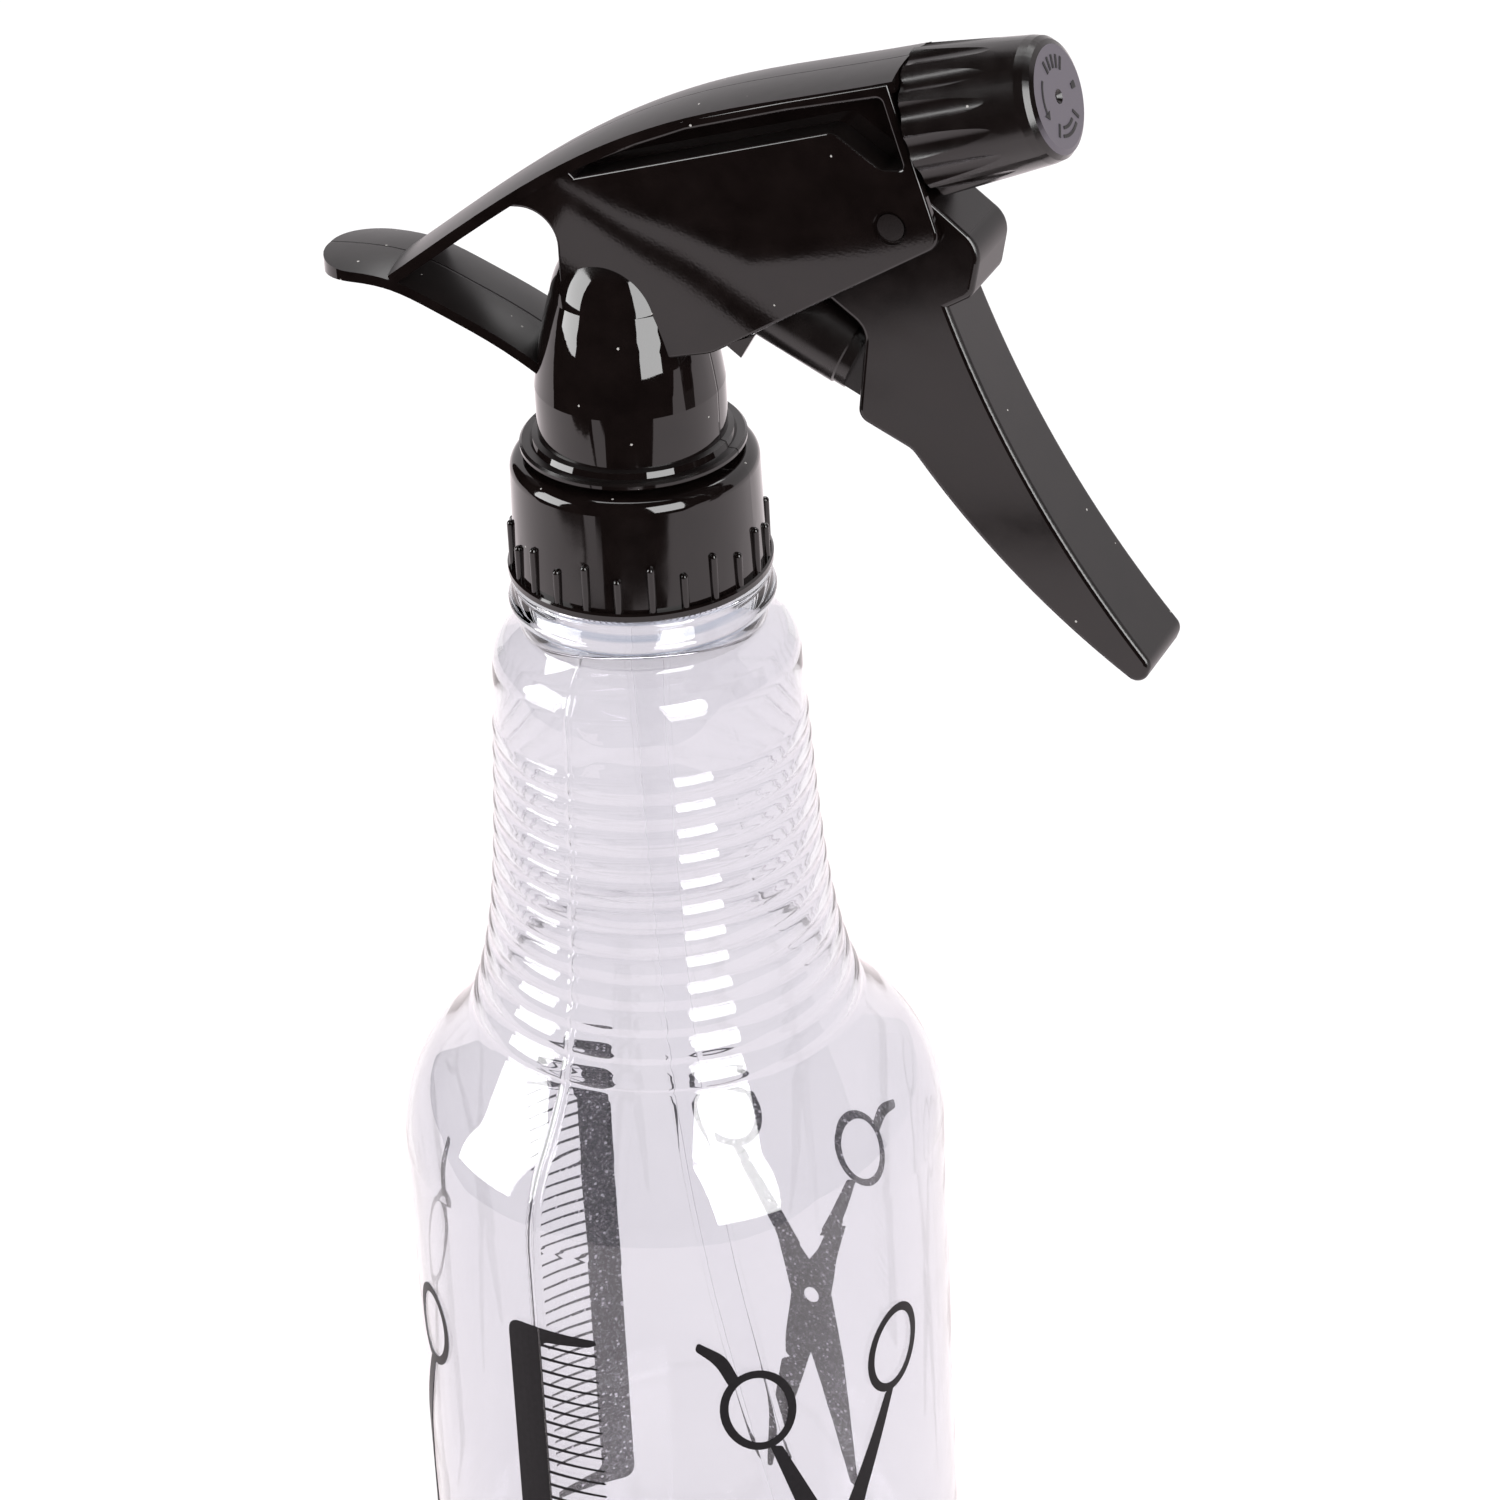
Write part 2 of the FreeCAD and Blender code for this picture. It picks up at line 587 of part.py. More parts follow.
def nozzle_cap():
    """The cap is made of equal wedges, each with one shallow flute that fades out towards the face."""
    back = -CAP_LENGTH
    outline = [(back, 7.4), (back, CAP_BACK_R - 0.3), (back + 0.3, CAP_BACK_R)]
    outline += [(-2.0, CAP_FRONT_R), (-0.9, CAP_FRONT_R - 0.25), (-0.3, CAP_FRONT_R - 0.75)]
    outline += [(0, CAP_FRONT_R - 1.4), (0, ORIFICE_R + 0.5), (-0.5, ORIFICE_R), (-3.3, ORIFICE_R)]
    outline += [(-3.3, 2.7), (-4.0, 2.7), (-4.0, CAP_BORE), (-9.6, CAP_BORE), (-9.9, CAP_BORE + 0.2)]
    outline += [(-12.1, CAP_BORE + 0.2), (-12.4, CAP_BORE), (-13.0, CAP_BORE), (-13.0, 7.4)]
    step = 360.0 / FLUTES
    wedge = nozzle_turned(outline, step)
    scoop_r = 2.3
    floor = CAP_BACK_R - FLUTE_DEPTH + scoop_r
    scoop = rod(scoop_r, nozzle_point(back - 1, floor), nozzle_point(-1, floor - 0.4))
    scoop.rotate(nozzle_point(0), nozzle_axis(), step / 2)
    wedge = wedge.cut(scoop)
    wedges = []
    for index in range(FLUTES):
        turned_wedge = wedge.copy()
        turned_wedge.rotate(nozzle_point(0), nozzle_axis(), index * step)
        wedges.append(turned_wedge)
    return wedges[0].multiFuse(wedges[1:])


# ---------------------------------------------------------------- the parts
PARTS = {
    "bottle": bottle,
    "closure": closure,
    "neck_gasket": neck_gasket,
    "tube_retainer": tube_retainer,
    "inlet_ball": inlet_ball,
    "dip_tube": dip_tube,
    "sprayer_body": sprayer_body,
    "plunger": plunger,
    "plunger_seal": plunger_seal,
    "return_spring": return_spring,
    "trigger": trigger,
    "outlet_ball": outlet_ball,
    "outlet_spring": outlet_spring,
    "spinner": spinner,
    "nozzle_seal": nozzle_seal,
    "nozzle_cap": nozzle_cap,
}

os.makedirs("parts", exist_ok=True)
for name, make in PARTS.items():
    shape = make()
    print(name, "solids", len(shape.Solids), "valid", shape.isValid(), "volume", round(shape.Volume, 1))
    shape.exportStep(f"parts/{name}.step")
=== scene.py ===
import math

import bmesh
import bpy
from mathutils import Matrix, Vector


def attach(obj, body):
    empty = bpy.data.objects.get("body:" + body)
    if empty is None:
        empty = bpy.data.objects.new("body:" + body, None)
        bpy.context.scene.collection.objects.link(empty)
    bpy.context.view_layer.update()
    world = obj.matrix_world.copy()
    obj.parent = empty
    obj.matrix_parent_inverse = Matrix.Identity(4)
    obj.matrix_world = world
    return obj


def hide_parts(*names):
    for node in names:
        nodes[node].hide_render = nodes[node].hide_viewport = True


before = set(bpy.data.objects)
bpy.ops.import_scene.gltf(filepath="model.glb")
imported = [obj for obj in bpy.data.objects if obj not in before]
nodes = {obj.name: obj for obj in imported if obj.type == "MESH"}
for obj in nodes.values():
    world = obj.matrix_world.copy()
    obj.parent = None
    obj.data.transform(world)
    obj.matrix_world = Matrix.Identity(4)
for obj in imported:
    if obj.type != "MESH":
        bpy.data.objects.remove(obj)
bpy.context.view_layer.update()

scene = bpy.context.scene

MM = 0.001
SEAT = 190.0              # closure's lower rim above the base, mm; profiles give heights from there
BODY_R = 35.15            # bottle's cylinder
WALL = 0.8                # bottle's wall
SEAM_ANGLE = -96.5        # front mould seam on the bottle, degrees from +X
NOZZLE_TILT = math.radians(17.84)
NOZZLE_FACE = (56.78, 69.9 + SEAT)   # x and z of the middle of the nozzle's face


# ---------------------------------------------------------------- material helpers
def material(name):
    mat = bpy.data.materials.new(name)
    mat.use_nodes = True
    tree = mat.node_tree
    return mat, tree, tree.nodes["Principled BSDF"]


def add(tree, kind, **settings):
    node = tree.nodes.new(kind)
    for key, value in settings.items():
        setattr(node, key, value)
    return node


def coordinates(tree):
    return add(tree, "ShaderNodeTexCoord").outputs["Object"]


def noise(tree, where, scale, detail=2.0, rough=0.5):
    node = add(tree, "ShaderNodeTexNoise")
    node.inputs["Scale"].default_value = scale
    node.inputs["Detail"].default_value = detail
    node.inputs["Roughness"].default_value = rough
    tree.links.new(where, node.inputs["Vector"])
    return node.outputs["Fac"]


def ramp(tree, value, stops):
    node = add(tree, "ShaderNodeValToRGB")
    elements = node.color_ramp.elements
    while len(elements) < len(stops):
        elements.new(0.5)
    for element, (position, colour) in zip(elements, stops):
        element.position = position
        element.color = colour + (1.0,)
    tree.links.new(value, node.inputs["Fac"])
    return node.outputs["Color"]


def grey(value):
    return (value, value, value)


def math_node(tree, operation, first, second=None, third=None):
    node = add(tree, "ShaderNodeMath", operation=operation)
    for socket, value in zip(node.inputs, (first, second, third)):
        if value is None:
            continue
        if isinstance(value, (int, float)):
            socket.default_value = value
        else:
            tree.links.new(value, socket)
    return node.outputs[0]


def bump(tree, height, strength, distance, after=None):
    node = add(tree, "ShaderNodeBump")
    node.inputs["Strength"].default_value = strength
    node.inputs["Distance"].default_value = distance
    tree.links.new(height, node.inputs["Height"])
    if after is not None:
        tree.links.new(after, node.inputs["Normal"])
    return node.outputs["Normal"]


def dust(tree, where, scale, size, share):
    """1 on tiny round specks in a share of the cells, 0 elsewhere."""
    cells = add(tree, "ShaderNodeTexVoronoi")
    cells.inputs["Scale"].default_value = scale
    tree.links.new(where, cells.inputs["Vector"])
    split = add(tree, "ShaderNodeSeparateColor")
    tree.links.new(cells.outputs["Color"], split.inputs[0])
    near = math_node(tree, "LESS_THAN", cells.outputs["Distance"], size)
    chosen = math_node(tree, "LESS_THAN", split.outputs[0], share)
    return math_node(tree, "MULTIPLY", near, chosen)


def mix_colour(tree, factor, first, second):
    node = add(tree, "ShaderNodeMix", data_type="RGBA")
    tree.links.new(factor, node.inputs["Factor"])
    for socket, value in ((node.inputs[6], first), (node.inputs[7], second)):
        if isinstance(value, tuple):
            socket.default_value = value + (1.0,)
        else:
            tree.links.new(value, socket)
    return node.outputs[2]


DUST_COLOUR = (0.22, 0.21, 0.20)
DUST_ROUGH = 0.7


def black_plastic(name, base, smooth, coarse, ripple,
                  satin_from=None, satin_base=None, specks=0.05, parting=False):
    """Moulded black plastic: rippled gloss of roughness smooth, fine grain and a little dust.

    satin_from is an axis and two values of the normal along it, between which the gloss turns to the
    roughness coarse, and the colour to satin_base if there is one. parting adds a mould line at y = 0.
    """
    mat, tree, shader = material(name)
    where = coordinates(tree)
    mottle = noise(tree, where, 260.0, 4.0, 0.6)
    tint = ramp(tree, mottle, [(0.3, base), (0.75, tuple(c * 1.8 for c in base))])
    grime = dust(tree, where, 620.0, 0.10, specks)
    finish = ramp(tree, mottle, [(0.25, grey(smooth)), (0.8, grey(smooth * 1.6))])
    if satin_from is not None:
        axis, begins, full = satin_from
        facing = add(tree, "ShaderNodeNewGeometry").outputs["Normal"]
        split = add(tree, "ShaderNodeSeparateXYZ")
        tree.links.new(facing, split.inputs[0])
        towards = ramp(tree, split.outputs[axis], [(begins, grey(0.0)), (full, grey(1.0))])
        finish = mix_colour(tree, towards, finish, grey(coarse))
        if satin_base is not None:
            tint = mix_colour(tree, towards, tint, satin_base)
    finish = mix_colour(tree, grime, finish, grey(DUST_ROUGH))
    colour = mix_colour(tree, grime, tint, DUST_COLOUR)
    tree.links.new(colour, shader.inputs["Base Color"])
    tree.links.new(finish, shader.inputs["Roughness"])
    shader.inputs["IOR"].default_value = 1.5
    waves = bump(tree, noise(tree, where, 45.0, 1.0, 0.4), ripple, 0.0016)
    if parting:
        place = add(tree, "ShaderNodeSeparateXYZ")
        tree.links.new(where, place.inputs[0])
        offset = math_node(tree, "ABSOLUTE", place.outputs[1])
        offset_mm = math_node(tree, "MULTIPLY", offset, 1000.0)
        line = ramp(tree, offset_mm, [(0.10, grey(0.0)), (0.20, grey(1.0))])
        waves = bump(tree, line, 1.0, 0.00025, waves)
        tree.links.new(line, shader.inputs["Specular Tint"])
    grain = bump(tree, noise(tree, where, 2600.0, 2.0), 0.008, 0.00004, waves)
    tree.links.new(grain, shader.inputs["Normal"])
    return mat


# ---------------------------------------------------------------- mesh helpers
def new_object(name, mesh, body, mats):
    """A visible piece that rides on a body."""
    obj = bpy.data.objects.new(name, mesh)
    scene.collection.objects.link(obj)
    for mat in mats:
        mesh.materials.append(mat)
    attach(obj, body)
    return obj


def arc(first, middle, last, count):
    """Points after first on the arc through three points, or on the line if they are in one."""
    a, b, c = Vector(first), Vector(middle), Vector(last)
    ab, ac = b - a, c - a
    cross = 2.0 * (ab.x * ac.y - ab.y * ac.x)
    if abs(cross) < 1e-9:
        return [tuple(a.lerp(c, (i + 1) / count)) for i in range(count)]
    centre = a + Vector((ac.y * ab.length_squared - ab.y * ac.length_squared,
                         ab.x * ac.length_squared - ac.x * ab.length_squared)) / cross
    start = math.atan2(a.y - centre.y, a.x - centre.x)
    half = math.atan2(b.y - centre.y, b.x - centre.x)
    end = math.atan2(c.y - centre.y, c.x - centre.x)
    turn = (end - start + math.pi) % (2 * math.pi) - math.pi
    bend = (half - start + math.pi) % (2 * math.pi) - math.pi
    if turn * bend < 0:
        turn -= math.copysign(2 * math.pi, turn)
    radius = (a - centre).length
    angles = [start + turn * (i + 1) / count for i in range(count)]
    return [(centre.x + radius * math.cos(t), centre.y + radius * math.sin(t)) for t in angles]


def path(start, steps):
    """Points of a profile: a 2-tuple is a line's end, a 5-tuple an arc's middle, end and point count."""
    points = [start]
    for step in steps:
        if len(step) == 2:
            points.append(step)
        else:
            points += arc(points[-1], step[0:2], step[2:4], step[4])
    return points


# ---------------------------------------------------------------- bottle
GROOVE_TOP = -20.35       # top groove of the grip rings
PITCH = 3.55
RINGS = 12
RING_STEPS = 10           # points in each ring's wave
RING_DEPTH = 0.3
SHOULDER_R = 17.5
SHOULDER_Z = -82.0
SHOULDER_SWEEP = math.radians(43.0)
HEEL_R = 6.6
FOOT_LIFT = 1.2           # the base's middle stands this far off the ground
SIDE_ROWS = (40.0, 80.0)  # extra rows up the cylinder
SEAM_HALF = 0.42          # half a seam's width, degrees
FRONT_SEAM = 0.10         # height of the sharper seam
REAR_SEAM = 0.02


def neck_radius(z):
    """Radius of the neck's grip over its rings, at a height below the closure."""
    fall = -14.0 - z
    return 19.5 + 0.055 * fall + 5.5 * (fall / 54.0) ** 5


def bottle_side(inset):
    """Side of the bottle from the top of its cylinder up to the groove above the rings."""
    centre = BODY_R - SHOULDER_R
    radius = SHOULDER_R - inset
    half = SHOULDER_SWEEP / 2
    steps = [(BODY_R - inset, SHOULDER_Z)]
    middle = (centre + radius * math.cos(half), SHOULDER_Z + radius * math.sin(half))
    end = (centre + radius * math.cos(SHOULDER_SWEEP), SHOULDER_Z + radius * math.sin(SHOULDER_SWEEP))
    steps.append(middle + end + (16,))
    lowest = GROOVE_TOP - PITCH * RINGS
    hollow = (27.67 - 0.8 * inset, -66.73 - 0.5 * inset)
    steps.append(hollow + (neck_radius(lowest) - RING_DEPTH - inset, lowest, 8))
    for step in range(1, RINGS * RING_STEPS + 1):
        z = lowest + PITCH * step / RING_STEPS
        wave = 0.5 + 0.5 * math.cos(2 * math.pi * step / RING_STEPS)
        steps.append((neck_radius(z) - RING_DEPTH * wave ** 1.5 - inset, z))
    return steps


def bottle_profile():
    """The outside from the base up to the lip, and the inside from the floor up to the lip."""
    low = -SEAT
    sides = [low + row for row in SIDE_ROWS]
    bend = HEEL_R * (1 - math.sqrt(0.5))
    outside = [(7.6, low), (8.0, low + 0.1), (9.5, low + 1.1), (10.0, low + FOOT_LIFT)]
    outside += [(22.5, low + FOOT_LIFT), (23.0, low + 1.1), (24.4, low + 0.1), (24.8, low)]
    outside += [(BODY_R - HEEL_R, low)]
    outside += [(BODY_R - bend, low + bend, BODY_R, low + HEEL_R, 10)]
    outside += [(BODY_R, z) for z in sides]
    outside += bottle_side(0.0)
    outside += [(19.45, -16.8), (19.4, -13.2), (19.2, -12.3), (18.75, -10.95, 17.7, -9.9, 10), (15.6, -7.8)]
    outside += [(15.45, -7.6), (15.38, -7.45), (15.36, -7.3), (15.35, -7.0), (15.35, -5.4), (15.5, -5.2)]
    outside += [(16.0, -4.8), (16.7, -4.0, 16.2, -3.2, 8), (16.2, -1.0), (16.1, -0.7), (15.8, -0.5)]
    outside += [(12.8, -0.5), (12.6, -0.3), (12.6, 11.4), (12.5, 11.8), (12.0, 12.0), (11.2, 12.0)]
    floor = low + FOOT_LIFT + WALL
    inner_r = BODY_R - WALL
    heel = HEEL_R - WALL
    bend = heel * (1 - math.sqrt(0.5))
    inside = [(inner_r - heel, floor), (inner_r - bend, floor + bend, inner_r, floor + heel, 8)]
    inside += [(inner_r, z) for z in sides]
    inside += bottle_side(WALL)
    inside += [(18.6, -16.8), (18.5, -13.4), (17.9, -11.6, 16.8, -10.5, 8)]
    inside += [(14.4, -8.8), (12.2, -6.6), (11.2, -4.8), (11.0, -4.0), (11.0, 11.7)]
    return path((0.0, low), outside), path((0.0, floor), inside)


def seam_lift(angle):
    """Height of the mould seam at an angle; the front seam is the sharper one."""
    front = (angle - SEAM_ANGLE + 180.0) % 360.0 - 180.0
    rear = (angle - SEAM_ANGLE) % 360.0 - 180.0
    return max(0.0, FRONT_SEAM * (1 - (front / SEAM_HALF) ** 2), REAR_SEAM * (1 - (rear / SEAM_HALF) ** 2))


def column_angles():
    """Angles round the bottle, with extra ones where the two mould seams stand."""
    count = 180
    angles = []
    for index in range(count):
        angle = SEAM_ANGLE + index * 360.0 / count
        angles.append(angle)
        if index % (count // 2) == 0:
            angles += [angle + share * SEAM_HALF for share in (-1.0, -0.5, 0.5, 1.0)]
    return sorted(angles)


def revolve(profile, angles, lifted):
    """Vertices, and each row's vertex numbers, of a profile turned about the bottle's axis.

    A point on the axis is one vertex. The mould seams stand on the side if lifted is true.
    """
    verts, rings = [], []
    for radius, z in profile:
        if radius < 1e-6:
            verts.append((0.0, 0.0, (z + SEAT) * MM))
            rings.append([len(verts) - 1])
            continue
        ring = []
        for angle in angles:
            rise = 0.0
            if lifted and -180.0 < z < -5.5:
                rise = seam_lift(angle)
            turn = math.radians(angle)
            out = (radius + rise) * MM
            verts.append((out * math.cos(turn), out * math.sin(turn), (z + SEAT) * MM))
            ring.append(len(verts) - 1)
        rings.append(ring)
    return verts, rings


def skin(rings, flip):
    """Faces between each ring of vertices and the next."""
    faces = []
    count = max(len(ring) for ring in rings)
    for low, high in zip(rings, rings[1:]):
        for i in range(count):
            j = (i + 1) % count
            if len(low) == 1:
                face = [low[0], high[j], high[i]]
            elif len(high) == 1:
                face = [low[i], low[j], high[0]]
            else:
                face = [low[i], low[j], high[j], high[i]]
            faces.append(face[::-1] if flip else face)
    return faces


def make_bottle(mat):
    """The bottle's outside, inside and lip as one closed skin, with the neck's thread."""
    angles = column_angles()
    outer, inner = bottle_profile()
    verts, rings = revolve(outer, angles, True)
    faces = skin(rings, False)
    more, inner_rings = revolve(inner, angles, False)
    base = len(verts)
    inner_rings = [[base + i for i in ring] for ring in inner_rings]
    verts += more
    faces += skin(inner_rings, True)
    faces += skin([rings[-1], inner_rings[-1]], False)
    helix_verts, helix_faces = neck_thread(len(verts))
    mesh = bpy.data.meshes.new("bottle_shell")
    mesh.from_pydata(verts + helix_verts, [], faces + helix_faces)
    mesh.update()
    for polygon in mesh.polygons:
        polygon.use_smooth = True
    obj = new_object("bottle_shell", mesh, "bottle", [mat])
    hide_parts("bottle")


def neck_thread(base):
    """The screw ridge on the neck, tapering in at both ends; base is its first vertex number."""
    root = 12.4
    section = [(root, 0.0), (13.75, 0.6), (13.75, 1.6), (root, 2.2)]
    start, pitch, turns = 2.9, 4.23, 1.25
    steps = 90
    verts, faces = [], []
    for index in range(steps + 1):
        share = index / steps
        turn = math.radians(360.0 * turns * share)
        grow = min(1.0, 12 * share, 12 * (1 - share))
        for radius, height in section:
            r = root + (radius - root) * grow
            z = start + height + pitch * turns * share + SEAT
            verts.append((r * MM * math.cos(turn), r * MM * math.sin(turn), z * MM))
    for index in range(steps):
        for side in range(4):
            a = base + index * 4 + side
            b = base + index * 4 + (side + 1) % 4
            faces.append([a, a + 4, b + 4, b])
    return verts, faces


def clear_plastic():
    """Clear PET with the faint waviness that blowing leaves; painted shade tints the bead under the closure
    and a thin band above it a darker blue.
    """
    mat, tree, shader = material("clear PET")
    where = coordinates(tree)
    shader.inputs["Transmission Weight"].default_value = 1.0
    shader.inputs["IOR"].default_value = 1.5
    cloud = noise(tree, where, 40.0, 3.0)
    tint = ramp(tree, cloud, [(0.3, (0.815, 0.80, 0.835)), (0.8, (0.845, 0.83, 0.86))])
    place = add(tree, "ShaderNodeSeparateXYZ")
    tree.links.new(where, place.inputs[0])
    height = math_node(tree, "MULTIPLY_ADD", place.outputs[2], 100.0, 1.0 - SEAT / 10)
    # Painted shade: two darker bluish bands by height, on the neck bead under the closure and just above it.
    painted_bead_shade = ramp(tree, height, [(0.44, grey(0.0)), (0.50, grey(0.75)), (0.56, grey(0.75)), (0.60, grey(0.0)),
                               (0.70, grey(0.0)), (0.73, grey(0.45)), (0.78, grey(0.0))])
    tint = mix_colour(tree, painted_bead_shade, tint, (0.34, 0.41, 0.52))
    tree.links.new(tint, shader.inputs["Base Color"])
    haze = ramp(tree, noise(tree, where, 300.0, 3.0), [(0.35, grey(0.0)), (0.9, grey(0.03))])
    tree.links.new(haze, shader.inputs["Roughness"])
    waves = bump(tree, noise(tree, where, 60.0, 2.0), 0.05, 0.001)
    tree.links.new(waves, shader.inputs["Normal"])
    return mat


# ---------------------------------------------------------------- printed tools
INK_IN = BODY_R + 0.03
INK_OUT = BODY_R + 0.07
OVERPRINT = 0.002         # each shape of a print stands this far above the last
COMB_ANGLES = (-104.3, 131.0)
COMB_TOP = -93.7
SCISSORS_ANGLES = (-33.6, 85.8, -152.6)
SCISSORS_PIVOT = -133.2


def ink_materials():
    """Black ink: glossy outside, and speckled grey where it is seen through the wall."""
    front, tree, shader = material("printing ink")
    where = coordinates(tree)
    cloud = noise(tree, where, 1500.0, 3.0)
    tone = ramp(tree, cloud, [(0.3, (0.0035, 0.0030, 0.0038)), (0.8, (0.0065, 0.0057, 0.0068))])
    tree.links.new(tone, shader.inputs["Base Color"])
    shader.inputs["Roughness"].default_value = 0.42
    shader.inputs["Specular IOR Level"].default_value = 0.12
    tree.links.new(bump(tree, cloud, 0.15, 0.00003), shader.inputs["Normal"])
    back, tree, shader = material("printing ink from inside")
    where = coordinates(tree)
    cloud = noise(tree, where, 2200.0, 5.0, 0.8)
    tone = ramp(tree, cloud, [(0.40, (0.012, 0.011, 0.014)), (0.53, (0.06, 0.057, 0.067)),
                              (0.64, (0.62, 0.60, 0.64))])
    flecks = dust(tree, where, 1500.0, 0.34, 0.24)
    tree.links.new(mix_colour(tree, flecks, tone, (0.95, 0.93, 0.97)), shader.inputs["Base Color"])
    shader.inputs["Roughness"].default_value = 0.8
    tree.links.new(bump(tree, cloud, 0.3, 0.00005), shader.inputs["Normal"])
    return [front, back]


def flat_mesh(outlines):
    """A flat mesh from closed 2-D outlines; one inside another is a hole."""
    curve = bpy.data.curves.new("ink outline", "CURVE")
    curve.dimensions = "2D"
    curve.fill_mode = "BOTH"
    for outline in outlines:
        spline = curve.splines.new("POLY")
        spline.points.add(len(outline) - 1)
        for point, (u, v) in zip(spline.points, outline):
            point.co = (u, v, 0.0, 1.0)
        spline.use_cyclic_u = True
    holder = bpy.data.objects.new("ink outline", curve)
    scene.collection.objects.link(holder)
    bpy.context.view_layer.update()
    evaluated = holder.evaluated_get(bpy.context.evaluated_depsgraph_get())
    mesh = bpy.data.meshes.new_from_object(evaluated)
    bpy.data.objects.remove(holder)
    return mesh


def cut_in_strips(flat, width):
    """Cuts a flat mesh across, so that it can bend round the bottle."""
    us = [v.co.x for v in flat.verts]
    cutting = math.floor(min(us)) + width
    while cutting < max(us):
        geometry = flat.verts[:] + flat.edges[:] + flat.faces[:]
        bmesh.ops.bisect_plane(flat, geom=geometry, plane_co=(cutting, 0, 0), plane_no=(1, 0, 0), dist=1e-5)
        cutting += width
    bmesh.ops.remove_doubles(flat, verts=flat.verts[:], dist=1e-4)
    flat.verts.index_update()


def wrapped_layer(whole, flat, angle, height, radius):
    """New vertices, one for each of the flat mesh's, on the bottle at a radius."""
    layer = []
    for vert in flat.verts:
        turn = math.radians(angle) + vert.co.x / BODY_R
        z = vert.co.y + height + SEAT
        layer.append(whole.verts.new((radius * MM * math.cos(turn), radius * MM * math.sin(turn), z * MM)))
    return layer


def print_on_bottle(name, shapes, angle, height, mats):
    """Wraps flat shapes round the bottle as thin ink; angle and height place the shapes' origin."""
    whole = bmesh.new()
    for order, outlines in enumerate(shapes):
        flat = bmesh.new()
        flat.from_mesh(flat_mesh(outlines))
        cut_in_strips(flat, 1.0)
        outer = wrapped_layer(whole, flat, angle, height, INK_OUT + OVERPRINT * order)
        inner = wrapped_layer(whole, flat, angle, height, INK_IN)
        for face in flat.faces:
            ring = [v.index for v in face.verts]
            if face.normal.z < 0:
                ring.reverse()
            whole.faces.new([outer[i] for i in ring]).material_index = 0
            whole.faces.new([inner[i] for i in reversed(ring)]).material_index = 1
            for loop in face.loops:
                if len(loop.edge.link_faces) == 1:
                    a, b = loop.vert.index, loop.link_loop_next.vert.index
                    if face.normal.z < 0:
                        a, b = b, a
                    whole.faces.new([outer[b], outer[a], inner[a], inner[b]]).material_index = 0
        flat.free()
    mesh = bpy.data.meshes.new(name)
    whole.to_mesh(mesh)
    whole.free()
    new_object(name, mesh, "bottle", mats)


def round_corner(corner, back, ahead, radius, count=5):
    """Points of a rounded corner of a flat outline."""
    c = Vector(corner)
    first = c + (Vector(back) - c).normalized() * radius
    last = c + (Vector(ahead) - c).normalized() * radius
    points = []
    for i in range(count + 1):
        t = i / count
        points.append(tuple(first * (1 - t) ** 2 + c * 2 * t * (1 - t) + last * t * t))
    return points


def outline_with(points):
    """Closed outline from (u, v, corner radius) points."""
    result = []
    for index, (u, v, radius) in enumerate(points):
        if radius == 0:
            result.append((u, v))
            continue
        back = points[index - 1][:2]
        ahead = points[(index + 1) % len(points)][:2]
        result += round_corner((u, v), back, ahead, radius)
    return result


def ellipse(centre, half_u, half_v, tilt, count=40):
    turn = math.radians(tilt)
    points = []
    for index in range(count):
        t = 2 * math.pi * index / count
        x, y = half_u * math.cos(t), half_v * math.sin(t)
        points.append((centre[0] + x * math.cos(turn) - y * math.sin(turn),
                       centre[1] + x * math.sin(turn) + y * math.cos(turn)))
    return points


def comb_shapes():
    """A comb with its spine on the left; its origin is the spine's top left corner."""
    length = 71.5
    tooth_pitch = 2.01
    spine = outline_with([
        (0, 0, 2.2), (12.6, -0.3, 0.4), (12.9, -0.9, 0.3), (11.8, -1.5, 0.4), (5.6, -2.2, 0.4),
        (4.9, -3.0, 0.3), (4.9, -length + 3.4, 0.3), (5.6, -length + 2.6, 0.4), (12.4, -length + 1.7, 0.5),
        (12.7, -length + 0.6, 0.4), (0, -length, 2.2)])
    shapes = [[spine]]
    tooth = -2.75
    while tooth > -length + 4.5:
        shapes.append([[(4.7, tooth + 0.22), (4.7, tooth - 0.22), (12.7, tooth - 0.14), (12.9, tooth),
                        (12.7, tooth + 0.14)]])
        tooth -= tooth_pitch
    return shapes


def scissors_shapes():
    """A pair of scissors, points down, with a finger rest on the left ring; its origin is the pivot."""
    hole = ellipse((0, 0), 1.2, 1.25, 0, 20)
    left_half = outline_with([
        (-8.9, 21.7, 0.3), (-7.2, 21.2, 0.3), (-1.4, 8.0, 1.0), (2.9, 2.0, 1.5), (4.4, -8.0, 1.5),
        (4.6, -10.9, 0.4), (3.9, -11.6, 0.2), (5.2, -12.1, 0.5), (8.9, -31.6, 0.3), (7.7, -31.4, 0.5),
        (0.2, -8.8, 0.4), (-2.8, -1.0, 1.5), (-4.6, 8.0, 1.5)])
    right_half = outline_with([
        (9.2, 22.3, 0.3), (10.9, 22.6, 0.3), (4.7, 8.0, 1.5), (2.9, -2.0, 1.5), (0.9, -8.6, 0.4),
        (-5.2, -30.6, 0.5), (-6.6, -31.2, 0.3), (-4.9, -9.5, 1.0), (-3.2, 1.5, 1.5), (1.6, 8.0, 1.0)])
    left_ring = [ellipse((-10.1, 27.6), 5.0, 6.35, 14), ellipse((-10.1, 27.6), 3.85, 5.2, 14)]
    right_ring = [ellipse((11.2, 28.4), 4.9, 6.3, -14), ellipse((11.2, 28.4), 3.75, 5.1, -14)]
    rest = outline_with([
        (-12.2, 32.4, 0.2), (-13.6, 31.6, 0.2), (-15.4, 35.8, 1.5), (-17.9, 38.2, 0.5), (-17.5, 39.4, 0.5),
        (-14.0, 36.9, 1.5)])
    return [[left_half, hole], [right_half, hole], left_ring, right_ring, [rest]]


